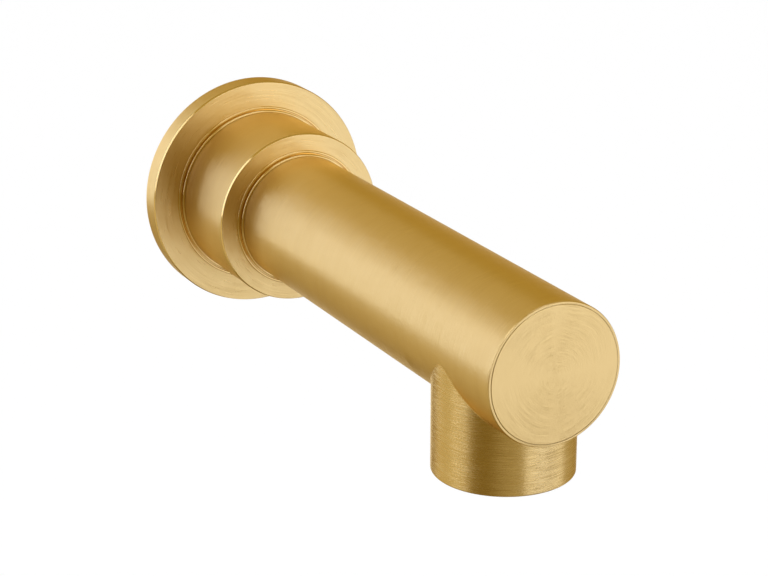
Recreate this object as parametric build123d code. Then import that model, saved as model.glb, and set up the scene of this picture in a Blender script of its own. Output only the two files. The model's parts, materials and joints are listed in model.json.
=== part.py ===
from build123d import *
import os

# A wall-mounted bath spout. Sizes are in millimetres, +Z is up, the finished wall is the plane
# Y = 0 and the spout reaches out along -Y. The origin is the mouth of the inlet thread.

# Spout tube
tube_diameter = 38.1
tube_wall = 2.0
spout_reach = 180.6  # wall to the face of the end cap
back_setback = 1.0  # wall to the back ends of the tube and the neck

# Wall flange
flange_diameter = 70.0
flange_thickness = 6.8
flange_back_bevel = 0.3

# Neck between the flange and the tube
neck_diameter = 51.4
neck_reach = 35.8  # wall to the front face of the neck
neck_back_bevel = 0.4

# Outlet leg under the nose
leg_diameter = 37.8
leg_wall = 2.0
nose_reach = 24.1  # axis of the leg to the face of the end cap
leg_drop = 34.0  # tube axis to the lower rim of the leg
leg_rim_bevel = 0.4

# Front edges of the flange and the neck
edge_bevel = 0.45

# Turned moulding round the bore of the flange and of the neck: a low bead and a taller ring
ring_width = 0.6
ring_height = 1.6
ring_bevel = 0.35
valley_width = 0.2
valley_height = 0.15
bead_width = 0.75
bead_height = 0.55
bead_bevel = 0.25

# End cap, let into the front of the tube behind a thin lip
lip_width = 0.65
lip_bevel = 0.3
cap_clearance = 0.15
cap_thickness = 2.4
cap_bevel = 0.2
cap_spigot_length = 4.0
cap_spigot_wall = 1.5
cap_spigot_clearance = 0.1

# Inlet adapter that screws onto the supply pipe, inside the tube
adapter_length = 40.0
adapter_clearance = 0.1
inlet_thread_radius = 9.3  # minor radius of the half inch pipe thread
inlet_thread_length = 18.0
waterway_radius = 7.2
key_width = 15.0  # across the flats of the hexagon socket
key_depth = 10.0

# Two square-cut seals on the adapter
seal_section = 2.6
seal_clearance = 0.05
seal_groove_room = 0.5  # how much wider a groove is than its seal
rear_seal_place = 29.0  # wall to the middle of each seal
front_seal_place = 34.5

# Soldered fits of the flange on the neck and of the neck on the tube
solder_clearance = 0.05

# Gasket in the back of the flange
gasket_inner_share = 0.3  # where it starts and ends, as shares of the way from bore to rim
gasket_outer_share = 0.78
gasket_thickness = 2.0
gasket_clearance = 0.1

# Set screw under the neck, its point in a groove of the adapter
screw_diameter = 6.0
screw_clearance = 0.08
screw_place = 22.0  # wall to the axis of the screw
screw_recess = 0.8
screw_point_bevel = 0.6
screw_groove_depth = 1.6
screw_groove_room = 1.0
screw_key_width = 3.0
screw_key_depth = 3.0

# Stream straightener and what holds it in the leg
outlet_passage_radius = 14.5
outlet_clearance = 0.15
washer_thickness = 1.5
washer_overlap = 2.2  # how far the washer and the rim reach inward
straightener_height = 5.0
cell_rings = 3  # rings of cells round the middle one
cell_wall = 0.6
ring_recess = 1.0  # lower rim of the leg to the lower face of the ring
outlet_ring_wall = 3.4
outlet_ring_height = 3.7
outlet_ring_bevel = 0.5
spanner_slot_width = 2.4
spanner_slot_depth = 1.4

tube_radius = tube_diameter / 2
tube_bore = tube_radius - tube_wall
flange_radius = flange_diameter / 2
flange_bore = neck_diameter / 2 + solder_clearance
gasket_inner_radius = flange_bore + gasket_inner_share * (flange_radius - flange_bore)
gasket_outer_radius = flange_bore + gasket_outer_share * (flange_radius - flange_bore)
neck_radius = neck_diameter / 2
neck_bore = tube_radius + solder_clearance
leg_axis = spout_reach - nose_reach
leg_radius = leg_diameter / 2
leg_bore = leg_radius - leg_wall
cap_seat_radius = tube_radius - lip_width
cap_radius = cap_seat_radius - cap_clearance
cap_back = spout_reach - cap_thickness
adapter_radius = tube_bore - adapter_clearance
screw_radius = screw_diameter / 2
screw_hole_radius = screw_radius + screw_clearance
screw_groove_radius = adapter_radius - screw_groove_depth
outlet_ring_bottom = ring_recess - leg_drop
straightener_bottom = outlet_ring_bottom + outlet_ring_height
straightener_top = straightener_bottom + straightener_height
ledge = straightener_top + washer_thickness
insert_radius = leg_bore - outlet_clearance


def bevelled_face(corners):
    """Face inside a closed outline of (x, y, bevel), with each bevelled corner cut back along both sides."""
    points = []
    for index, (x, y, bevel) in enumerate(corners):
        corner = Vector(x, y)
        if bevel == 0:
            points.append(corner)
            continue
        for x_beside, y_beside, _ in (corners[index - 1], corners[(index + 1) % len(corners)]):
            points.append(corner + (Vector(x_beside, y_beside) - corner).normalized() * bevel)
    return make_face(Polyline(*points, close=True))


def turned(outline):
    """Turn an outline of (radius, distance from the wall, bevel) about the tube axis."""
    corners = [(radius, -distance, bevel) for radius, distance, bevel in outline]
    return revolve(bevelled_face(corners), Axis.Y)


def turned_in_leg(outline):
    """Turn an outline of (radius, height, bevel) about the axis of the leg."""
    return Pos(0, -leg_axis, 0) * revolve(Plane.XZ * bevelled_face(outline), Axis.Z)


def moulding(bore, face):
    """Corners of the bead and the ring round a bore, from the face inward."""
    ring = bore + ring_width
    valley = ring + valley_width
    bead = valley + bead_width
    return [
        (bead, face, 0),
        (bead, face + bead_height, bead_bevel),
        (valley, face + bead_height, bead_bevel),
        (valley, face + valley_height, 0),
        (ring, face + valley_height, 0),
        (ring, face + ring_height, ring_bevel),
        (bore, face + ring_height, 0),
    ]


def groove(mouth, depth, middle, width):
    """Corners of a square groove on a shaft, from front to back."""
    front = middle + width / 2
    back = middle - width / 2
    return [(mouth, front, 0), (depth, front, 0), (depth, back, 0), (mouth, back, 0)]


def square_ring(inner, outer, back, front):
    """Ring of square section about the tube axis."""
    return turned([(inner, back, 0), (outer, back, 0), (outer, front, 0), (inner, front, 0)])


def set_screw_bore(radius, top, bottom):
    """Upright cylinder on the axis of the set screw between two heights."""
    return Pos(0, -screw_place, (top + bottom) / 2) * Cylinder(radius, top - bottom)


def make_wall_flange():
    gasket_recess_inner = gasket_inner_radius - gasket_clearance
    gasket_recess_outer = gasket_outer_radius + gasket_clearance
    outline = [
        (flange_bore, 0, 0),
        (gasket_recess_inner, 0, 0),
        (gasket_recess_inner, gasket_thickness, 0),
        (gasket_recess_outer, gasket_thickness, 0),
        (gasket_recess_outer, 0, 0),
        (flange_radius, 0, flange_back_bevel),
        (flange_radius, flange_thickness, edge_bevel),
    ]
    return turned(outline + moulding(flange_bore, flange_thickness))


def make_wall_gasket():
    return square_ring(gasket_inner_radius, gasket_outer_radius, 0, gasket_thickness)


def make_adapter_seal(middle):
    inner = tube_bore - seal_section + seal_clearance
    outer = tube_bore - seal_clearance
    return square_ring(inner, outer, middle - seal_section / 2, middle + seal_section / 2)


def make_neck_collar():
    outline = [
        (neck_bore, back_setback, 0),
        (neck_radius, back_setback, neck_back_bevel),
        (neck_radius, neck_reach, edge_bevel),
    ]
    sleeve = turned(outline + moulding(neck_bore, neck_reach))
    return sleeve - set_screw_bore(screw_hole_radius, -tube_bore, -flange_radius)


def make_spout_body():
    tube = turned(
        [
            (0, back_setback, 0),
            (tube_radius, back_setback, 0),
            (tube_radius, spout_reach, lip_bevel),
            (0, spout_reach, 0),
        ]
    )
    leg = turned_in_leg(
        [
            (0, 0, 0),
            (leg_radius, 0, 0),
            (leg_radius, -leg_drop, leg_rim_bevel),
            (0, -leg_drop, 0),
        ]
    )
    bores = turned(
        [
            (0, back_setback, 0),
            (tube_bore, back_setback, 0),
            (tube_bore, cap_back, 0),
            (cap_seat_radius, cap_back, 0),
            (cap_seat_radius, spout_reach, 0),
            (0, spout_reach, 0),
        ]
    )
    outlet = turned_in_leg(
        [
            (0, 0, 0),
            (outlet_passage_radius, 0, 0),
            (outlet_passage_radius, ledge, 0),
            (leg_bore, ledge, 0),
            (leg_bore, -leg_drop, 0),
            (0, -leg_drop, 0),
        ]
    )
    return tube + leg - bores - outlet - set_screw_bore(screw_hole_radius, 0, -neck_radius)


def make_end_cap():
    spigot_radius = tube_bore - cap_spigot_clearance
    spigot_bore = spigot_radius - cap_spigot_wall
    spigot_back = cap_back - cap_spigot_length
    return turned(
        [
            (0, spout_reach, 0),
            (cap_radius, spout_reach, cap_bevel),
            (cap_radius, cap_back, 0),
            (spigot_radius, cap_back, 0),
            (spigot_radius, spigot_back, 0),
            (spigot_bore, spigot_back, 0),
            (spigot_bore, cap_back, 0),
            (0, cap_back, 0),
        ]
    )


def make_inlet_adapter():
    seal_depth = tube_bore - seal_section
    seal_width = seal_section + seal_groove_room
    outline = [
        (waterway_radius, adapter_length, 0),
        (adapter_radius, adapter_length, 0),
        *groove(adapter_radius, seal_depth, front_seal_place, seal_width),
        *groove(adapter_radius, seal_depth, rear_seal_place, seal_width),
        *groove(adapter_radius, screw_groove_radius, screw_place, screw_diameter + screw_groove_room),
        (adapter_radius, 0, 0),
        (inlet_thread_radius, 0, 0),
        (inlet_thread_radius, inlet_thread_length, 0),
        (waterway_radius, inlet_thread_length, 0),
    ]
    key_socket = RegularPolygon(key_width / 2, 6, major_radius=False)
    key_front = Plane((0, -adapter_length, 0), x_dir=(1, 0, 0), z_dir=(0, 1, 0))
    return turned(outline) - extrude(key_front * key_socket, key_depth)


def make_set_screw():
    head = screw_recess - neck_radius
    point = -screw_groove_radius - seal_clearance
    shank = set_screw_bore(screw_radius, point, head)
    shank = chamfer(shank.edges().group_by(Axis.Z)[-1], screw_point_bevel)
    key_socket = RegularPolygon(screw_key_width / 2, 6, major_radius=False)
    return shank - extrude(Pos(0, -screw_place, head) * key_socket, screw_key_depth)


def make_straightener_washer():
    inner = insert_radius - washer_overlap
    return turned_in_leg(
        [
            (inner, straightener_top, 0),
            (insert_radius, straightener_top, 0),
            (insert_radius, ledge, 0),
            (inner, ledge, 0),
        ]
    )


def make_stream_straightener():
    disc = turned_in_leg(
        [
            (0, straightener_bottom, 0),
            (insert_radius, straightener_bottom, 0),
            (insert_radius, straightener_top, 0),
            (0, straightener_top, 0),
        ]
    )
    open_radius = insert_radius - outlet_ring_wall
    cell_pitch = open_radius / (cell_rings + 1 / 3**0.5)
    cell = RegularPolygon((cell_pitch - cell_wall) / 2, 6, major_radius=False)
    cells = Sketch()
    for row in range(-cell_rings, cell_rings + 1):
        row_cells = 2 * cell_rings + 1 - abs(row)
        for place in range(row_cells):
            across = (place - (row_cells - 1) / 2) * cell_pitch
            cells += Pos(across, row * cell_pitch * 3**0.5 / 2) * Rot(Z=90) * cell
    return disc - extrude(Pos(0, -leg_axis, straightener_bottom) * cells, straightener_height)


def make_outlet_ring():
    inner = insert_radius - outlet_ring_wall
    ring = turned_in_leg(
        [
            (inner, straightener_bottom, 0),
            (inner, outlet_ring_bottom, outlet_ring_bevel),
            (insert_radius, outlet_ring_bottom, 0),
            (insert_radius, straightener_bottom, 0),
        ]
    )
    slot = Box(2 * leg_radius, spanner_slot_width, 2 * spanner_slot_depth)
    return ring - Pos(0, -leg_axis, outlet_ring_bottom) * slot


parts = {
    "wall_flange": make_wall_flange(),
    "wall_gasket": make_wall_gasket(),
    "neck_collar": make_neck_collar(),
    "spout_body": make_spout_body(),
    "end_cap": make_end_cap(),
    "inlet_adapter": make_inlet_adapter(),
    "adapter_seal_rear": make_adapter_seal(rear_seal_place),
    "adapter_seal_front": make_adapter_seal(front_seal_place),
    "set_screw": make_set_screw(),
    "straightener_washer": make_straightener_washer(),
    "stream_straightener": make_stream_straightener(),
    "outlet_ring": make_outlet_ring(),
}

os.makedirs("parts", exist_ok=True)
for node, solid in parts.items():
    export_step(solid, f"parts/{node}.step")
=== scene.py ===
import json
import math

import bmesh
import bpy
import numpy as np
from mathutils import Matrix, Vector


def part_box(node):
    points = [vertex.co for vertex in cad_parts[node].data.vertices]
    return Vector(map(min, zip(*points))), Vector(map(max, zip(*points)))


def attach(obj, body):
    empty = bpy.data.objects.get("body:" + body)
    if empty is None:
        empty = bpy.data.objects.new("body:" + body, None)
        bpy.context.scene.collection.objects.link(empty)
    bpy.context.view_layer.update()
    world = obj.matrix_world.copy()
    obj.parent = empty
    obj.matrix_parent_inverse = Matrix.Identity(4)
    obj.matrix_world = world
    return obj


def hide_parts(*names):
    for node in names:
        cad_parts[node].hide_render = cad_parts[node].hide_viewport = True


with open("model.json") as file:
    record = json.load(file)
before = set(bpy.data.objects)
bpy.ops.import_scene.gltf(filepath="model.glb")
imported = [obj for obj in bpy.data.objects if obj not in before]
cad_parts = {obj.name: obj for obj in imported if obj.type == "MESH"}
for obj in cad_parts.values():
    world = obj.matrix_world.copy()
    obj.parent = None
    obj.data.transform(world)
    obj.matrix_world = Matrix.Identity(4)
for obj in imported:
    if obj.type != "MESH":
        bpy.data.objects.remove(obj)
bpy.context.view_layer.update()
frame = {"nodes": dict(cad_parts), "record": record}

MM = 0.001


# Sizes, in metres, read from the frame where it has them

def span(node, axis):
    """Lowest and highest place of a node along X, Y or Z."""
    low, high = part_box(node)
    return low["XYZ".index(axis)], high["XYZ".index(axis)]


ring_height = 1.6 * MM
ring_width = 0.6 * MM
ring_round = 0.38 * MM
valley_width = 0.2 * MM
valley_height = 0.15 * MM
bead_width = 0.75 * MM
bead_height = 0.55 * MM
bead_round = 0.3 * MM
edge_back = 0.55 * MM
edge_in = 0.24 * MM
edge_round = 0.12 * MM
solder_gap = 0.05 * MM

tube_wall = 2.0 * MM
tube_radius = span("spout_body", "X")[1]
tube_bore = tube_radius - tube_wall
tube_back = -span("spout_body", "Y")[1]
spout_reach = -span("spout_body", "Y")[0]
leg_drop = -span("spout_body", "Z")[0]
leg_place = -sum(span("stream_straightener", "Y")) / 2
leg_radius = 18.9 * MM
leg_bore = leg_radius - tube_wall
leg_rim_round = 0.4 * MM
passage_radius = 14.5 * MM
ledge_drop = -span("straightener_washer", "Z")[1]
saddle_round = 0.3 * MM
saddle_margin = 2.1 * MM

cap_gap = 0.15 * MM
cap_thickness = 2.4 * MM
cap_radius = span("end_cap", "X")[1]
cap_seat = cap_radius + cap_gap
cap_back = spout_reach - cap_thickness
cap_round = 0.2 * MM
cap_proud = 0.1 * MM
seam_mouth = 0.05 * MM
lip_back = 0.4 * MM
lip_in = 0.2 * MM
spigot_gap = 0.1 * MM
spigot_wall = 1.5 * MM
spigot_radius = tube_bore - spigot_gap
spigot_bore = spigot_radius - spigot_wall
spigot_back = -span("end_cap", "Y")[1]

neck_radius = span("neck_collar", "X")[1]
neck_bore = tube_radius + solder_gap
neck_reach = -span("neck_collar", "Y")[0] - ring_height
neck_back = -span("neck_collar", "Y")[1]
neck_back_round = 0.4 * MM
screw_gap = 0.08 * MM
screw_place = -sum(span("set_screw", "Y")) / 2
screw_hole = span("set_screw", "X")[1] + screw_gap
screw_margin = 5.0 * MM

flange_radius = span("wall_flange", "X")[1]
flange_bore = neck_radius + solder_gap
flange_thickness = -span("wall_flange", "Y")[0] - ring_height
flange_back_round = 0.3 * MM
gasket_gap = 0.1 * MM
gasket_share = 0.3
gasket_inner = flange_bore + gasket_share * (flange_radius - flange_bore) - gasket_gap
gasket_outer = span("wall_gasket", "X")[1] + gasket_gap
gasket_thickness = -span("wall_gasket", "Y")[0]

inlet = next(mount for mount in frame["record"]["mounts"] if mount["name"] == "inlet")
thread_crest = inlet["dims"]["r_mm"] * MM
thread_length = inlet["dims"]["length_mm"] * MM
thread_depth = 1.16 * MM
thread_pitch = 1.814 * MM
adapter_radius = span("inlet_adapter", "X")[1]
adapter_length = -span("inlet_adapter", "Y")[0]
adapter_round = 0.3 * MM
waterway_radius = 7.2 * MM
key_sides = 6
key_flat = 7.5 * MM
key_depth = 10.0 * MM
key_margin = 0.3 * MM
seal_groove_depth = 2.6 * MM
seal_groove_bottom = tube_bore - seal_groove_depth
seal_groove_width = 3.1 * MM
screw_groove_depth = 1.6 * MM
screw_groove_bottom = adapter_radius - screw_groove_depth
screw_groove_width = 7.0 * MM


# Fineness of the meshes

turn_steps = 192
arc_steps = 5
hole_rows = 12
hole_spread = 1.5
leg_half_columns, leg_side_steps, leg_rows = 57, 48, 8
screw_half_columns, screw_side_steps = 8, 12
helix_steps = 96
weld_grid = 1e8


# Meshes with exact normals

class Skin:
    """Collects faces with the normal of each corner, and makes a mesh of them."""

    def __init__(self):
        self.points = []
        self.places = {}
        self.faces = []
        self.normals = []
        self.finishes = []

    def point(self, place):
        key = tuple(round(value * weld_grid) for value in place)
        if key not in self.places:
            self.places[key] = len(self.points)
            self.points.append(tuple(place))
        return self.places[key]

    def face(self, corners, finish=0):
        """One face from (place, normal) corners, turned to face its normals."""
        indices = [self.point(place) for place, normal in corners]
        kept = [n for n in range(len(indices)) if indices[n] != indices[n - 1]]
        if len(set(indices)) < 3:
            return
        places = [Vector(corners[n][0]) for n in kept]
        normals = [Vector(corners[n][1]).normalized() for n in kept]
        facing = sum((places[n - 1].cross(places[n]) for n in range(len(kept))), Vector())
        if facing.dot(sum(normals, Vector())) < 0:
            kept.reverse()
            normals.reverse()
        self.faces.append([indices[n] for n in kept])
        self.normals.extend(normals)
        self.finishes.append(finish)

    def grid(self, places, normals, finish=0):
        """Quads between the rows of a grid of places and normals."""
        for upper, lower, upper_n, lower_n in zip(places[:-1], places[1:], normals[:-1], normals[1:]):
            for n in range(len(upper) - 1):
                self.face(
                    [
                        (upper[n], upper_n[n]),
                        (upper[n + 1], upper_n[n + 1]),
                        (lower[n + 1], lower_n[n + 1]),
                        (lower[n], lower_n[n]),
                    ],
                    finish,
                )

    def turn(self, strips, about, angles, finish=0):
        """Turns outline strips about an axis; a strip is two (radius, height, normal) ends."""
        for strip in strips:
            places = [[about(r, h, a) for a in angles] for r, h, (nr, nh) in strip]
            normals = [[about(nr, nh, a, True) for a in angles] for r, h, (nr, nh) in strip]
            self.grid(places, normals, finish)

    def piece(self, name, finishes):
        mesh = bpy.data.meshes.new(name)
        mesh.from_pydata(self.points, [], self.faces)
        for finish in finishes:
            mesh.materials.append(finish)
        mesh.polygons.foreach_set("material_index", self.finishes)
        mesh.polygons.foreach_set("use_smooth", [True] * len(self.faces))
        mesh.normals_split_custom_set(self.normals)
        piece = bpy.data.objects.new(name, mesh)
        bpy.context.collection.objects.link(piece)
        return piece


def about_tube(radius, away, angle, direction=False):
    """Place, or direction, at a radius and angle about the tube axis and a distance from the wall."""
    return (radius * math.cos(angle), -away, radius * math.sin(angle))


def about_leg(radius, height, angle, direction=False):
    """Place, or direction, at a radius, height and angle about the axis of the leg."""
    middle = 0.0 if direction else -leg_place
    return (radius * math.cos(angle), middle + radius * math.sin(angle), height)


def full_turn():
    return [2 * math.pi * n / turn_steps for n in range(turn_steps)] + [0.0]


def unit(vector):
    return vector / np.linalg.norm(vector)


def cross(first, second):
    return first[0] * second[1] - first[1] * second[0]


def outline_strips(corners, closed=True):
    """Strips of an outline of (radius, height, rounding) corners, with flat and arc normals.

    The outline goes round with the solid on its left, where radius is to the right and height is up.
    """
    count = len(corners)
    places = [np.array(corner[:2], float) for corner in corners]
    ends = []
    for n, (place, corner) in enumerate(zip(places, corners)):
        if corner[2] == 0 or (not closed and n in (0, count - 1)):
            ends.append([(place, None)])
            continue
        before = unit(places[n - 1] - place)
        after = unit(places[(n + 1) % count] - place)
        half = math.acos(before @ after) / 2
        centre = place + unit(before + after) * corner[2] / math.sin(half)
        first = place + before * corner[2] / math.tan(half) - centre
        last = place + after * corner[2] / math.tan(half) - centre
        turn = math.atan2(cross(first, last), first @ last)
        outward = 1 if cross(-before, after) > 0 else -1
        arc = []
        for k in range(arc_steps + 1):
            angle = turn * k / arc_steps
            spoke = math.cos(angle) * first + math.sin(angle) * np.array((-first[1], first[0]))
            arc.append((centre + spoke, outward * unit(spoke)))
        ends.append(arc)
    strips = []
    for n in range(count if closed else count - 1):
        here, there = ends[n], ends[(n + 1) % count]
        for (a, a_normal), (b, b_normal) in zip(here[:-1], here[1:]):
            strips.append([(*a, a_normal), (*b, b_normal)])
        a, b = here[-1][0], there[0][0]
        along = unit(b - a)
        flat = (along[1], -along[0])
        strips.append([(*a, flat), (*b, flat)])
    return strips


def front_edge(radius, face, back=edge_back, inward=edge_in):
    """Two corners that break the front edge of a rim, further along the rim than into the face."""
    return [(radius, face - back, edge_round), (radius - inward, face, edge_round)]


def moulding(bore, face):
    """Corners of the bead and the ring turned round a bore, from the face inward."""
    ring = bore + ring_width
    valley = ring + valley_width
    bead = valley + bead_width
    return [
        (bead, face, 0),
        (bead, face + bead_height, bead_round),
        (valley, face + bead_height, bead_round),
        (valley, face + valley_height, 0),
        (ring, face + valley_height, 0),
        (ring, face + ring_height, ring_round),
        (bore, face + ring_height, 0),
    ]


def part_strips(strips, face):
    """Parts strips into a front face, the beads and broken edges at it, and the walls behind it."""
    near = 1e-7
    faces, trim, walls = [], [], []
    for strip in strips:
        heights = [end[1] for end in strip]
        if max(abs(height - face) for height in heights) < near:
            faces.append(strip)
        elif min(heights) > face - edge_back - near:
            trim.append(strip)
        else:
            walls.append(strip)
    return faces, trim, walls


# Materials

class Value:
    """A socket of a node tree; arithmetic on it adds Math nodes."""

    def __init__(self, tree, socket):
        self.tree = tree
        self.socket = socket

    def math(self, operation, first, second):
        return self.tree.add("ShaderNodeMath", {"operation": operation}, {0: first, 1: second})

    def __add__(self, other):
        return self.math("ADD", self, other)

    def __radd__(self, other):
        return self.math("ADD", other, self)

    def __sub__(self, other):
        return self.math("SUBTRACT", self, other)

    def __rsub__(self, other):
        return self.math("SUBTRACT", other, self)

    def __mul__(self, other):
        return self.math("MULTIPLY", self, other)

    def __rmul__(self, other):
        return self.math("MULTIPLY", other, self)

    def __truediv__(self, other):
        return self.math("DIVIDE", self, other)

    def __pow__(self, other):
        return self.math("POWER", self, other)


class Nodes:
    """A node tree, and a way to add nodes of any kind to it."""

    def __init__(self, tree):
        self.nodes = tree.nodes
        self.links = tree.links

    def add(self, kind, settings=None, sockets=None, output=0):
        """Adds a node of any kind, sets it, fills or links its sockets, and gives one output."""
        node = self.nodes.new(kind)
        for name, value in (settings or {}).items():
            setattr(node, name, value)
        for name, value in (sockets or {}).items():
            self.fill(node.inputs[name], value)
        return Value(self, node.outputs[output])

    def fill(self, socket, value):
        if isinstance(value, Value):
            self.links.new(value.socket, socket)
        else:
            socket.default_value = value


class Finish(Nodes):
    """A material with one Principled shader."""

    def __init__(self, name, **values):
        self.material = bpy.data.materials.new(name)
        self.material.use_nodes = True
        super().__init__(self.material.node_tree)
        self.shader = self.nodes["Principled BSDF"]
        for socket, value in values.items():
            self.shader.inputs[socket.replace("_", " ")].default_value = value

    def feed(self, socket, value):
        self.fill(self.shader.inputs[socket], value)

    def vector(self, operation, first, second=None, scale=None):
        sockets = {0: first}
        if second is not None:
            sockets[1] = second
        if scale is not None:
            sockets["Scale"] = scale
        return self.add("ShaderNodeVectorMath", {"operation": operation}, sockets)

    def split(self, vector):
        """X, Y and Z of a vector."""
        node = self.nodes.new("ShaderNodeSeparateXYZ")
        self.links.new(vector.socket, node.inputs[0])
        return [Value(self, output) for output in node.outputs]

    def join(self, x, y, z):
        return self.add("ShaderNodeCombineXYZ", None, {"X": x, "Y": y, "Z": z})

    def noise(self, place, scale, detail=2.0):
        return self.add("ShaderNodeTexNoise", None, {"Vector": place, "Scale": scale, "Detail": detail})

    def mix(self, factor, first, second):
        node = self.nodes.new("ShaderNodeMix")
        node.data_type = "RGBA"
        self.fill(node.inputs["Factor"], factor)
        self.fill(node.inputs[6], first)
        self.fill(node.inputs[7], second)
        return Value(self, node.outputs[2])


gold_pale = (0.87, 0.715, 0.41, 1.0)
gold_deep = (0.83, 0.67, 0.365, 1.0)
gold_edge = (1.0, 0.82, 0.5, 1.0)
brush_line = 0.012 * MM
streak_width = 30 * brush_line
band_width = 300 * brush_line
streak_tone, band_tone, streak_roughness = 0.9, 0.6, 0.06
wander_scale = 45.0
tiny = 1e-6


def brushed_gold(name, about, tilt=1.7, roughness=0.33, scratch=0.09, mottle=1.0, wander=0.0):
    """Gold brushed in rings about the tube axis or the leg axis.

    Fine lines tip the normal across the brushing, so highlights spread across the lines only.
    """
    finish = Finish(name, Metallic=1.0, Specular_Tint=gold_edge)
    place = finish.add("ShaderNodeTexCoord", None, None, "Object")
    x, y, z = finish.split(place)
    if about == "leg":
        along, side = z, y + leg_place
    else:
        along, side = y, z
    radius = (x * x + side * side) ** 0.5
    across = along + radius
    if wander:
        across = across + (finish.noise(place, wander_scale) - 0.5) * wander
    around_x = x / (radius + tiny)
    around_side = side / (radius + tiny)
    normal = finish.add("ShaderNodeNewGeometry", None, None, "Normal")

    def lines(width, length, detail):
        """Noise in lines: width apart across the brushing, length in turns along it."""
        return finish.noise(
            finish.join(across / width, around_x / length, around_side / length), 1.0, detail
        )

    fine = lines(width=brush_line, length=0.5, detail=1.0)
    streak = lines(width=streak_width, length=0.3, detail=2.0)
    band = lines(width=band_width, length=1.0, detail=1.0)
    if about == "leg":
        ring = finish.join(around_side * -1.0, around_x, 0.0)
    else:
        ring = finish.join(around_side * -1.0, 0.0, around_x)
    tip = (fine - 0.5) * tilt + (streak - 0.5) * scratch
    sideways = finish.vector("CROSS_PRODUCT", normal, ring)
    tipped = finish.vector("ADD", normal, finish.vector("SCALE", sideways, scale=tip))
    finish.feed("Normal", finish.vector("NORMALIZE", tipped))
    tone = ((streak - 0.5) * streak_tone + (band - 0.5) * band_tone) * mottle + 0.5
    finish.feed("Base Color", finish.mix(tone, gold_deep, gold_pale))
    finish.feed("Roughness", (streak - 0.5) * (mottle * streak_roughness) + roughness)
    return finish.material


tube_gold = brushed_gold("tube_gold", "tube", tilt=1.35, scratch=0.17, mottle=1.6)
face_gold = brushed_gold("face_gold", "tube", tilt=1.2, roughness=0.29, scratch=0.11, mottle=1.5)
cap_gold = brushed_gold("cap_gold", "tube", tilt=1.0, scratch=0.015, mottle=0.5, wander=6 * MM)
leg_gold = brushed_gold("leg_gold", "leg", roughness=0.27, scratch=0.2, mottle=2.4)
trim_gold = brushed_gold("trim_gold", "tube", tilt=0.3, roughness=0.15, scratch=0.03)
turned_brass = brushed_gold("turned_brass", "tube", tilt=0.8, roughness=0.3)
bore_brass = brushed_gold("bore_brass", "tube", tilt=0.6, roughness=0.4)


# Gold pieces

def finish_piece(piece, node):
    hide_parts(node)
    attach(piece, "root")


class SideHole:
    """A round hole that runs straight down through the underside of a sleeve about the tube axis."""

    def __init__(self, radius, place, half_length, half_columns, side_steps):
        self.radius = radius
        self.place = place
        self.half_length = half_length
        self.half_columns = half_columns
        self.across = [n / half_columns for n in range(-half_columns, half_columns)]
        self.up = [-1 + 2 * n / side_steps for n in range(side_steps)]
        edge = [(x, -1.0) for x in self.across] + [(1.0, y) for y in self.up]
        edge += [(-x, 1.0) for x in self.across] + [(-1.0, -y) for y in self.up]
        self.edge = np.array(edge + edge[:1])
        self.angles = np.arctan2(self.edge[:, 1], self.edge[:, 0])

    def wall_normals(self):
        return np.stack([-np.cos(self.angles), -np.sin(self.angles), 0 * self.angles], axis=1)

    def band(self, skin, sleeve, side, finish=0, rounding=0.0):
        """Skins the length of a sleeve that the hole is in, and gives the hole's edge and its normals.

        Sleeve is a radius, and side is 1 for an outside and -1 for a bore.
        """
        step = 2 * math.pi * sleeve / turn_steps
        cosines, sines = np.cos(self.angles), np.sin(self.angles)
        rim = np.stack([sleeve * np.arcsin(self.radius / sleeve * cosines), self.radius * sines], axis=1)
        if rounding:
            ahead = np.roll(rim[:-1], -1, axis=0) - np.roll(rim[:-1], 1, axis=0)
            outward = np.stack([ahead[:, 1], -ahead[:, 0]], axis=1)
            outward *= rounding / np.linalg.norm(outward, axis=1)[:, None]
            rim = rim + np.concatenate([outward, outward[:1]])
        far = self.edge * (self.half_columns * step, self.half_length)
        rest = step * np.arange(self.half_columns, turn_steps - self.half_columns + 1)
        shares = [(n / hole_rows) ** hole_spread for n in range(hole_rows + 1)]
        near_rows = [rim * (1 - share) + far * share for share in shares]
        far_rows = [np.stack([rest, 0 * rest + y * self.half_length], axis=1) for y in self.up + [1.0]]
        for flat_rows in (far_rows, near_rows):
            normals, places = [], []
            for flat in flat_rows:
                turn = flat[:, 0] / sleeve
                out = np.stack([np.sin(turn), 0 * turn, -np.cos(turn)], axis=1)
                places.append(sleeve * out + np.outer(flat[:, 1] - self.place, (0, 1, 0)))
                normals.append(side * out)
            skin.grid(places, normals, finish)
        return places[0], normals[0]


def column_angles():
    """Angles about the tube axis of the columns that meet the length with a side hole."""
    return [2 * math.pi * n / turn_steps - math.pi / 2 for n in range(turn_steps + 1)]


screw_side_hole = SideHole(screw_hole, screw_place, screw_margin, screw_half_columns, screw_side_steps)


def drill_for_screw(skin, outside, bore, finish, bore_finish):
    """Length of a sleeve with the hole of the set screw through it."""
    outer = screw_side_hole.band(skin, outside, 1, finish)[0]
    inner = screw_side_hole.band(skin, bore, -1, bore_finish)[0]
    wall = screw_side_hole.wall_normals()
    skin.grid([outer, inner], [wall, wall], bore_finish)


def make_flange():
    corners = [
        (flange_bore, 0, 0),
        (gasket_inner, 0, 0),
        (gasket_inner, gasket_thickness, 0),
        (gasket_outer, gasket_thickness, 0),
        (gasket_outer, 0, 0),
        (flange_radius, 0, flange_back_round),
    ]
    corners += front_edge(flange_radius, flange_thickness)
    strips = outline_strips(corners + moulding(flange_bore, flange_thickness))
    skin = Skin()
    for finish, part in enumerate(part_strips(strips, flange_thickness)):
        skin.turn(part, about_tube, full_turn(), finish)
    finish_piece(skin.piece("flange_disc", [face_gold, trim_gold, tube_gold]), "wall_flange")


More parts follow.
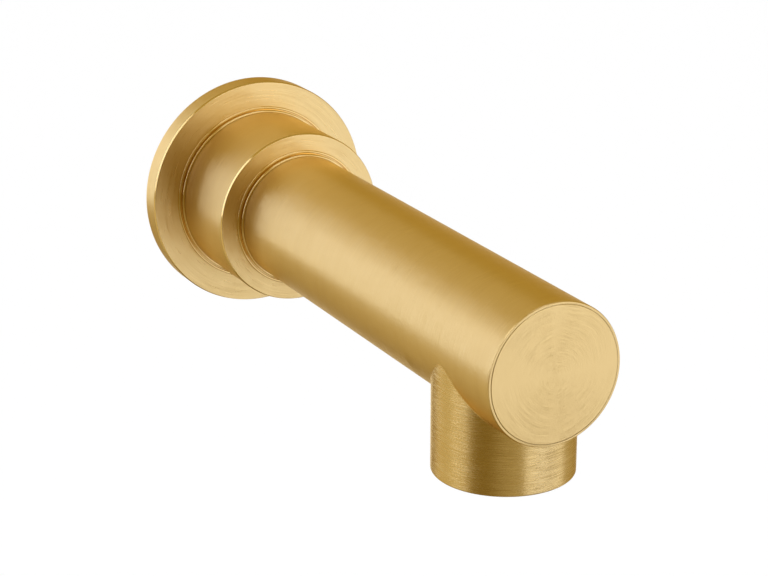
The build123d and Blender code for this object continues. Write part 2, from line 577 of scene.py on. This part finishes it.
def make_cap():
    corners = [
        (0, cap_back, 0),
        (spigot_bore, cap_back, 0),
        (spigot_bore, spigot_back, 0),
        (spigot_radius, spigot_back, 0),
        (spigot_radius, cap_back, 0),
        (cap_radius, cap_back, 0),
        (cap_radius, spout_reach, cap_round),
        (0, spout_reach, 0),
    ]
    skin = Skin()
    skin.turn(outline_strips(corners)[:-1], about_tube, full_turn())
    finish_piece(skin.piece("cap_disc", [cap_gold]), "end_cap")


def make_neck():
    skin = Skin()
    before = screw_place - screw_side_hole.half_length
    beyond = screw_place + screw_side_hole.half_length
    front = [(neck_radius, beyond, 0)] + front_edge(neck_radius, neck_reach)
    front += moulding(neck_bore, neck_reach) + [(neck_bore, beyond, 0)]
    back = [(neck_bore, before, 0), (neck_bore, neck_back, 0)]
    back += [(neck_radius, neck_back, neck_back_round), (neck_radius, before, 0)]
    strips = outline_strips(front, closed=False) + outline_strips(back, closed=False)
    for finish, part in enumerate(part_strips(strips, neck_reach)):
        skin.turn(part, about_tube, column_angles(), finish)
    drill_for_screw(skin, neck_radius, neck_bore, 2, 2)
    finish_piece(skin.piece("neck_sleeve", [face_gold, trim_gold, tube_gold]), "neck_collar")


def make_body():
    skin = Skin()
    tube_finish, leg_finish, bore_finish = 0, 1, 2
    leg_half = leg_radius + saddle_margin
    leg_hole = SideHole(leg_radius, leg_place, leg_half, leg_half_columns, leg_side_steps)
    passage = SideHole(passage_radius, leg_place, leg_half, leg_half_columns, leg_side_steps)
    angles = leg_hole.angles
    tube_edge, tube_normals = leg_hole.band(skin, tube_radius, 1, tube_finish, saddle_round)
    passage_edge = passage.band(skin, tube_bore, -1, bore_finish)[0]
    drill_for_screw(skin, tube_radius, tube_bore, tube_finish, bore_finish)

    before = screw_place - screw_side_hole.half_length
    beyond = screw_place + screw_side_hole.half_length
    nose = leg_place + leg_half
    run_end = leg_place - leg_half
    lip = spout_reach - cap_proud
    front = [(tube_radius, nose, 0)] + front_edge(tube_radius, lip, lip_back, lip_in)
    front += [(cap_radius + seam_mouth, lip, 0), (cap_seat, lip - lip_back, 0)]
    front += [(cap_seat, cap_back, 0), (tube_bore, cap_back, 0), (tube_bore, nose, 0)]
    back = [(tube_bore, before, 0), (tube_bore, tube_back, 0)]
    back += [(tube_radius, tube_back, 0), (tube_radius, before, 0)]
    outside_run = [(tube_radius, beyond, 0), (tube_radius, run_end, 0)]
    bore_run = [(tube_bore, run_end, 0), (tube_bore, beyond, 0)]
    for corners in (front, back, outside_run):
        skin.turn(outline_strips(corners, closed=False), about_tube, column_angles(), tube_finish)
    skin.turn(outline_strips(bore_run, closed=False), about_tube, column_angles(), bore_finish)

    # Saddle: a small hollow round from the tube to the leg
    cosines, sines = np.cos(angles), np.sin(angles)
    saddle_z = -np.sqrt(tube_radius**2 - (leg_radius * cosines) ** 2)
    saddle = np.stack([leg_radius * cosines, leg_radius * sines - leg_place, saddle_z], axis=1)
    slope = leg_radius * cosines * sines / saddle_z
    down = np.stack([slope, -np.ones_like(slope)], axis=1)
    down *= saddle_round / np.linalg.norm(down, axis=1)[:, None]
    leg_angles = angles + down[:, 0] / leg_radius
    leg_top = saddle_z + down[:, 1]
    leg_normal = np.stack([np.cos(leg_angles), np.sin(leg_angles), 0 * angles], axis=1)
    below = leg_normal * leg_radius + np.stack([0 * angles, 0 * angles - leg_place, leg_top], axis=1)
    places, normals = [], []
    for n in range(arc_steps + 1):
        t = n / arc_steps
        places.append((1 - t) ** 2 * tube_edge + 2 * t * (1 - t) * saddle + t**2 * below)
        normals.append((1 - t) * tube_normals + t * leg_normal)
    skin.grid(places, normals, leg_finish)

    # Leg wall, rim, bore, ledge and passage
    wall_bottom = leg_rim_round - leg_drop
    places, normals = [], []
    for n in range(leg_rows + 1):
        share = n / leg_rows
        turn = leg_angles * (1 - share) + angles * share
        height = leg_top * (1 - share) + wall_bottom * share
        out = np.stack([np.cos(turn), np.sin(turn), 0 * turn], axis=1)
        normals.append(out)
        places.append(out * leg_radius + np.stack([0 * turn, 0 * turn - leg_place, height], axis=1))
    skin.grid(places, normals, leg_finish)
    rim = [(passage_radius, -ledge_drop, 0), (leg_bore, -ledge_drop, 0)]
    rim += [(leg_bore, -leg_drop, leg_rim_round / 2), (leg_radius, -leg_drop, leg_rim_round)]
    rim += [(leg_radius, wall_bottom + leg_rim_round, 0)]
    skin.turn(outline_strips(rim, closed=False)[:-1], about_leg, list(angles), leg_finish)
    ledge = [about_leg(passage_radius, -ledge_drop, a) for a in angles]
    wall = passage.wall_normals()
    skin.grid([ledge, passage_edge], [wall, wall], bore_finish)
    finish_piece(skin.piece("spout_tube", [tube_gold, leg_gold, bore_brass]), "spout_body")


def groove(bottom, middle, width):
    """Corners of a square groove round the adapter."""
    back, front = middle - width / 2, middle + width / 2
    return [(adapter_radius, back, 0), (bottom, back, 0), (bottom, front, 0), (adapter_radius, front, 0)]


def make_adapter():
    key_back = adapter_length - key_depth
    face_inner = key_flat / math.cos(math.pi / key_sides) + key_margin
    thread_root = thread_crest + thread_depth
    corners = [
        (waterway_radius, key_back, 0),
        (waterway_radius, thread_length, 0),
        (thread_root, thread_length, 0),
        (thread_root, thread_depth / 2, 0),
        (thread_root + thread_depth / 2, 0, 0),
        (adapter_radius, 0, 0),
    ]
    corners += groove(screw_groove_bottom, screw_place, screw_groove_width)
    for seal in ("adapter_seal_rear", "adapter_seal_front"):
        corners += groove(seal_groove_bottom, -sum(span(seal, "Y")) / 2, seal_groove_width)
    corners += [(adapter_radius, adapter_length, adapter_round), (face_inner, adapter_length, 0)]
    skin = Skin()
    skin.turn(outline_strips(corners, closed=False), about_tube, full_turn())
    forward = about_tube(0, 1, 0, True)
    steps = turn_steps // key_sides
    side_angle = 2 * math.pi / key_sides
    for side in range(key_sides):
        middle = (side + 0.5) * side_angle
        angles = [(side + n / steps) * side_angle for n in range(steps + 1)]
        rows = [[about_tube(face_inner, adapter_length, a) for a in angles]]
        for away in (adapter_length, key_back):
            rows.append([about_tube(key_flat / math.cos(a - middle), away, a) for a in angles])
        rows.append([about_tube(waterway_radius, key_back, a) for a in angles])
        inward = about_tube(-1, 0, middle, True)
        for n, normal in enumerate((forward, inward, forward)):
            skin.grid(rows[n:n + 2], [[normal] * (steps + 1)] * 2)
    finish_piece(skin.piece("adapter_bush", [turned_brass]), "inlet_adapter")


thread_sunk = 0.1
thread_foot = 0.96
thread_tip = 0.14


def thread_tree():
    """Geometry nodes that wind the ridge of an inside thread from the wall into the bore.

    The ridge is sunk in the bore by a share of its depth; its foot and tip are shares of the pitch.
    """
    tree = bpy.data.node_groups.new("thread_ridge", "GeometryNodeTree")
    for name in ("Crest Radius", "Depth", "Pitch", "Length", "Lead In"):
        tree.interface.new_socket(name, in_out="INPUT", socket_type="NodeSocketFloat")
    tree.interface.new_socket("Finish", in_out="INPUT", socket_type="NodeSocketMaterial")
    tree.interface.new_socket("Ridge", in_out="OUTPUT", socket_type="NodeSocketGeometry")
    ridge = Nodes(tree)
    inputs = ridge.nodes.new("NodeGroupInput").outputs
    crest, depth, pitch, length, lead_in = (Value(ridge, socket) for socket in inputs[:5])
    height = depth * (1 + thread_sunk)
    radius = crest + height * 0.5
    run = length - lead_in - pitch
    helix = ridge.add(
        "GeometryNodeCurveSpiral",
        None,
        {
            "Resolution": helix_steps,
            "Rotations": run / pitch,
            "Start Radius": radius,
            "End Radius": radius,
            "Height": run,
            "Reverse": True,
        },
    )
    upright = ridge.add("GeometryNodeSetCurveNormal", {"mode": "Z_UP"}, {"Curve": helix})
    section = ridge.add(
        "GeometryNodeCurvePrimitiveQuadrilateral",
        {"mode": "TRAPEZOID"},
        {
            "Height": height,
            "Bottom Width": pitch * thread_foot,
            "Top Width": pitch * thread_tip,
            "Offset": 0.0,
        },
    )
    turned = ridge.add(
        "GeometryNodeTransform",
        None,
        {"Geometry": section, "Rotation": (0, 0, math.pi / 2)},
    )
    wound = ridge.add(
        "GeometryNodeCurveToMesh",
        None,
        {"Curve": upright, "Profile Curve": turned, "Fill Caps": True},
    )
    start = ridge.add("ShaderNodeCombineXYZ", None, {"Y": pitch * -0.5 - lead_in})
    placed = ridge.add(
        "GeometryNodeTransform",
        None,
        {"Geometry": wound, "Translation": start, "Rotation": (math.pi / 2, 0, 0)},
    )
    whole = ridge.add("GeometryNodeRealizeInstances", None, {"Geometry": placed})
    brass = ridge.add("GeometryNodeSetMaterial", None, {"Geometry": whole})
    ridge.links.new(inputs["Finish"], brass.socket.node.inputs["Material"])
    ridge.links.new(brass.socket, ridge.nodes.new("NodeGroupOutput").inputs[0])
    return tree


def make_thread():
    """Winds the thread of the inlet, and keeps it as a plain mesh."""
    tree = thread_tree()
    bobbin = bpy.data.objects.new("thread_bobbin", bpy.data.meshes.new("thread_bobbin"))
    bpy.context.collection.objects.link(bobbin)
    winding = bobbin.modifiers.new("thread_ridge", "NODES")
    winding.node_group = tree
    values = {
        "Crest Radius": thread_crest,
        "Depth": thread_depth,
        "Pitch": thread_pitch,
        "Length": thread_length,
        "Lead In": thread_depth / 2,
        "Finish": turned_brass,
    }
    for socket in tree.interface.items_tree:
        if socket.name in values:
            winding[socket.identifier] = values[socket.name]
    wound = bobbin.evaluated_get(bpy.context.evaluated_depsgraph_get())
    mesh = bpy.data.meshes.new_from_object(wound)
    bpy.data.objects.remove(bobbin)
    thread = bpy.data.objects.new("inlet_thread", mesh)
    bpy.context.collection.objects.link(thread)
    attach(thread, "root")


make_flange()
make_neck()
make_body()
make_cap()
make_adapter()
make_thread()


# Small pieces keep their solids and get a finish

def shade(colour, strength=1.0):
    """A colour times a strength, with full alpha."""
    return tuple(value * strength for value in colour) + (1.0,)


def plain(name, colour, roughness, metallic=0.0):
    """Plain finish with a fine speckle in its colour and its gloss."""
    speckle_scale, speckle_dark, speckle_gloss = 900.0, 0.75, 0.2
    finish = Finish(name, Metallic=metallic)
    place = finish.add("ShaderNodeTexCoord", None, None, "Object")
    speckle = finish.noise(place, speckle_scale, detail=4.0)
    finish.feed("Base Color", finish.mix(speckle, shade(colour, speckle_dark), shade(colour)))
    finish.feed("Roughness", (speckle - 0.5) * speckle_gloss + roughness)
    return finish.material


def foam(name, colour, cell):
    """Closed-cell foam: small round cells that dent the surface, with painted shade that darkens each dent
    and leaves the cell walls paler.
    """
    wall_pale_over_painted_dent_shade, dent_strength, dent_depth = 1.9, 0.6, cell / 3
    finish = Finish(name, Roughness=0.9)
    place = finish.add("ShaderNodeTexCoord", None, None, "Object")
    cells = finish.add("ShaderNodeTexVoronoi", None, {"Vector": place, "Scale": 1 / cell})
    # Painted shade: the colour darkens towards each cell's middle, where the dent is deepest.
    finish.feed("Base Color", finish.mix(cells, shade(colour), shade(colour, wall_pale_over_painted_dent_shade)))
    dents = finish.add(
        "ShaderNodeBump",
        None,
        {"Strength": dent_strength, "Distance": dent_depth, "Height": cells},
    )
    finish.feed("Normal", dents)
    return finish.material


node_finishes = {
    "outlet_ring": brushed_gold("ring_brass", "leg", tilt=0.8, roughness=0.3),
    "set_screw": plain("screw_steel", (0.42, 0.42, 0.43), 0.35, 1.0),
    "adapter_seal_rear": plain("seal_rubber", (0.02, 0.02, 0.02), 0.6),
    "wall_gasket": foam("gasket_foam", (0.03, 0.03, 0.032), 0.7 * MM),
    "stream_straightener": plain("straightener_plastic", (0.75, 0.75, 0.72), 0.45),
}
node_finishes["adapter_seal_front"] = node_finishes["adapter_seal_rear"]
node_finishes["straightener_washer"] = node_finishes["adapter_seal_rear"]
for node, material in node_finishes.items():
    frame["nodes"][node].data.materials.clear()
    frame["nodes"][node].data.materials.append(material)


# Camera at the photo's view

image_width = 768
focal_pixels = 2226.4
view_azimuth, view_elevation = -27.64, 19.39
view_distance = 0.63297
view_target = Vector((0.0042356, -0.0819092, -0.0087871))


def bearing(azimuth, elevation):
    """Direction at an azimuth from the front, to the right, and an elevation, in degrees."""
    azimuth, elevation = math.radians(azimuth), math.radians(elevation)
    level = math.cos(elevation)
    return Vector((math.sin(azimuth) * level, -math.cos(azimuth) * level, math.sin(elevation)))


back = bearing(view_azimuth, view_elevation)
camera_data = bpy.data.cameras.new("photo_camera")
camera_data.sensor_width = 36.0
camera_data.lens = focal_pixels / image_width * camera_data.sensor_width
camera_data.clip_start = 0.01
camera = bpy.data.objects.new("photo_camera", camera_data)
camera.location = view_target + back * view_distance
camera.rotation_euler = back.to_track_quat("Z", "Y").to_euler()
bpy.context.collection.objects.link(camera)
bpy.context.scene.camera = camera


# Floor, lamps and world

light_centre = Vector((0, -0.09, 0))
tent_radius = 3.0
floor_level = -3.2
white = (1.0, 1.0, 1.0, 1.0)
black = (0.0, 0.0, 0.0, 1.0)
neutral = (1.0, 1.0, 1.0)
cool = (0.92, 1.0, 1.24)
pale_blue = (0.9, 1.02, 1.34)
warm = (1.0, 0.78, 0.38)

# Soft boxes: name, azimuth, elevation, distance, width, height, radiance and colour
soft_boxes = (
    ("left_box", -98, 27, 1.4, 0.8, 1.75, 1.4, neutral),
    ("left_back_box", -158, 5, 1.5, 1.1, 1.05, 0.86, pale_blue),
    ("back_box", 178, 33, 1.5, 0.9, 0.6, 0.2, neutral),
    ("top_box", 15, 60, 1.5, 1.1, 0.9, 0.92, cool),
    ("front_box", 20, -4, 1.4, 0.85, 1.2, 0.95, neutral),
    ("right_box", 54, -4, 1.4, 0.85, 1.3, 0.74, neutral),
)

# Tent cloth: colours, and soft patches by azimuth, elevation, inner angle and outer angle
tent_wall = (0.45, 0.31, 0.065, 1.0)
tent_dark_wall = (0.15, 0.075, 0.008, 1.0)
tent_ground = (0.22, 0.14, 0.025, 1.0)
tent_dark_side = (-65, -5, 0, 72)
tent_underside = (0, -90, 82, 92)
tent_opening = (152, -22, 10, 28)
tent_glows = {
    (90, -20, 12, 36): 0.45,
    (-134, -24, 14, 38): 0.6,
    (-10, -45, 10, 34): 0.5,
    (-104, -28, 10, 28): 0.65,
}


def soft_box(name, azimuth, elevation, distance, width, height, radiance, colour):
    """Rectangle of even radiance that faces the spout."""
    data = bpy.data.lights.new(name, "AREA")
    data.shape = "RECTANGLE"
    data.size, data.size_y = width, height
    data.energy = radiance * math.pi * width * height
    data.color = colour
    box = bpy.data.objects.new(name, data)
    box.location = light_centre + bearing(azimuth, elevation) * distance
    box.rotation_euler = bearing(azimuth, elevation).to_track_quat("Z", "Y").to_euler()
    box.visible_camera = False
    bpy.context.collection.objects.link(box)


def make_floor():
    size = 60.0
    corners = [(x, y, floor_level) for x, y in ((-size, -size), (size, -size), (size, size), (-size, size))]
    mesh = bpy.data.meshes.new("floor")
    mesh.from_pydata(corners, [], [(0, 1, 2, 3)])
    floor = bpy.data.objects.new("floor", mesh)
    finish = Finish("floor_white", Roughness=0.9)
    finish.feed("Base Color", white)
    mesh.materials.append(finish.material)
    bpy.context.collection.objects.link(floor)


def make_room():
    """White room all round the tent."""
    world = bpy.data.worlds.new("room")
    world.use_nodes = True
    world.node_tree.nodes["Background"].inputs["Color"].default_value = white
    bpy.context.scene.world = world


def tent_cloth():
    """Warm cloth that glows dimly, darker to the left, with paler patches and one opening."""
    cloth = Finish("tent_cloth", Specular_IOR_Level=0.0, Emission_Strength=1.0)
    cloth.feed("Base Color", black)
    place = cloth.add("ShaderNodeTexCoord", None, None, "Object")
    away = cloth.vector("NORMALIZE", place)

    def patch(azimuth, elevation, inner, outer):
        """Soft round patch: 1 within the inner angle of a bearing, and 0 past the outer one."""
        nearness = cloth.add(
            "ShaderNodeVectorMath",
            {"operation": "DOT_PRODUCT"},
            {0: away, 1: bearing(azimuth, elevation)},
            "Value",
        )
        return cloth.add(
            "ShaderNodeMapRange",
            {"interpolation_type": "SMOOTHSTEP"},
            {
                "Value": nearness,
                "From Min": math.cos(math.radians(outer)),
                "From Max": math.cos(math.radians(inner)),
            },
        )

    colour = cloth.mix(patch(*tent_dark_side), tent_wall, tent_dark_wall)
    colour = cloth.mix(patch(*tent_underside), colour, tent_ground)
    for place_and_size, strength in tent_glows.items():
        colour = cloth.mix(patch(*place_and_size), colour, shade(warm, strength))
    cloth.feed("Emission Color", colour)
    glow = Value(cloth, cloth.shader.outputs[0])
    clear = cloth.add("ShaderNodeBsdfTransparent")
    skin = cloth.add("ShaderNodeMixShader", None, {0: patch(*tent_opening), 1: glow, 2: clear})
    cloth.links.new(skin.socket, cloth.nodes["Material Output"].inputs["Surface"])
    return cloth.material


def make_tent():
    """Round tent about the spout, the lamps and the camera, which doesn't see it."""
    mesh = bpy.data.meshes.new("tent")
    shape = bmesh.new()
    bmesh.ops.create_icosphere(shape, subdivisions=4, radius=tent_radius)
    shape.to_mesh(mesh)
    shape.free()
    mesh.materials.append(tent_cloth())
    tent = bpy.data.objects.new("tent", mesh)
    tent.visible_camera = False
    tent.visible_diffuse = False
    tent.visible_shadow = False
    bpy.context.collection.objects.link(tent)


make_floor()
make_room()
make_tent()
for box in soft_boxes:
    soft_box(*box)
bpy.context.scene.view_settings.view_transform = "Standard"
